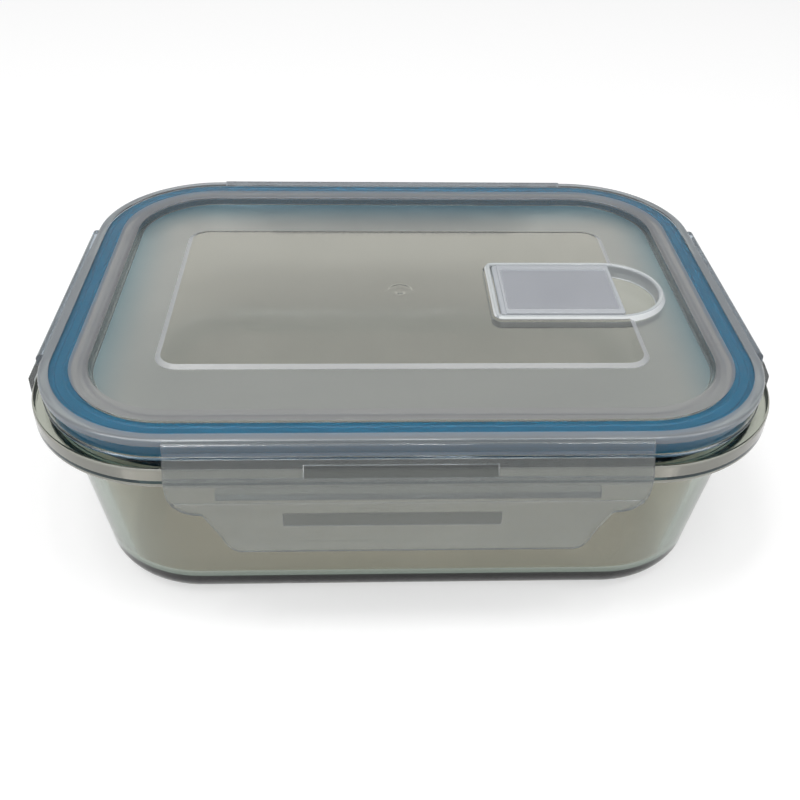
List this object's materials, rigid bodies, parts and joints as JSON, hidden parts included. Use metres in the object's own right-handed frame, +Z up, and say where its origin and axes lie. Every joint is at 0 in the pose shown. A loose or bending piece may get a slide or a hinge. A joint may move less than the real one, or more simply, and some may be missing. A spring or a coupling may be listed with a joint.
{
  "type": "lunch box",
  "caption": "Rectangular glass food box with a flanged tub, a clear snap lid with a gasket, hinged latches on its sides and a flap over a steam vent.",
  "frame": {"origin": "on the table below the middle of the box", "axes": "+X along the length, towards the steam vent; +Y to the rear; +Z up, out of the lid"},
  "size_m": [0.2122, 0.1642, 0.0663],
  "materials": {
    "borosilicate_glass": "clear, polished, with a green edge tint",
    "lid_plastic": "translucent, frosted outside the polished window",
    "latch_plastic": "translucent, satin",
    "flap_plastic": "frosted",
    "gasket_silicone": "satin blue",
    "plug_silicone": "satin, milky"
  },
  "bodies": {
    "base": {"glass_base": "borosilicate_glass"},
    "lid": {"lid": "lid_plastic", "gasket": "gasket_silicone"},
    "front_latch": {"front_latch": "latch_plastic", "front_catch": "latch_plastic"},
    "rear_latch": {"rear_latch": "latch_plastic", "rear_catch": "latch_plastic"},
    "left_latch": {"left_latch": "latch_plastic", "left_catch": "latch_plastic"},
    "right_latch": {"right_latch": "latch_plastic", "right_catch": "latch_plastic"},
    "vent_flap": {"vent_flap": "flap_plastic", "vent_plug": "plug_silicone"}
  },
  "joints": [
    {"name": "lid_lift", "type": "slide", "parent": "base", "child": "lid", "axis": [0, 0, 1], "range_m": [0, 0.09]},
    {"name": "front_latch_hinge", "type": "hinge", "parent": "lid", "child": "front_latch", "pos_m": [0, -0.0777, 0.0617], "axis": [-1, 0, 0], "range_deg": [0, 110], "deforming": ["front_catch"]},
    {"name": "rear_latch_hinge", "type": "hinge", "parent": "lid", "child": "rear_latch", "pos_m": [0, 0.0777, 0.0617], "axis": [1, 0, 0], "range_deg": [0, 110], "deforming": ["rear_catch"]},
    {"name": "left_latch_hinge", "type": "hinge", "parent": "lid", "child": "left_latch", "pos_m": [-0.1017, 0, 0.0617], "axis": [0, 1, 0], "range_deg": [0, 110], "deforming": ["left_catch"]},
    {"name": "right_latch_hinge", "type": "hinge", "parent": "lid", "child": "right_latch", "pos_m": [0.1017, 0, 0.0617], "axis": [0, -1, 0], "range_deg": [0, 110], "deforming": ["right_catch"]},
    {"name": "vent_flap_hinge", "type": "hinge", "parent": "lid", "child": "vent_flap", "pos_m": [0.0304, 0, 0.0642], "axis": [0, -1, 0], "range_deg": [0, 80]}
  ]
}
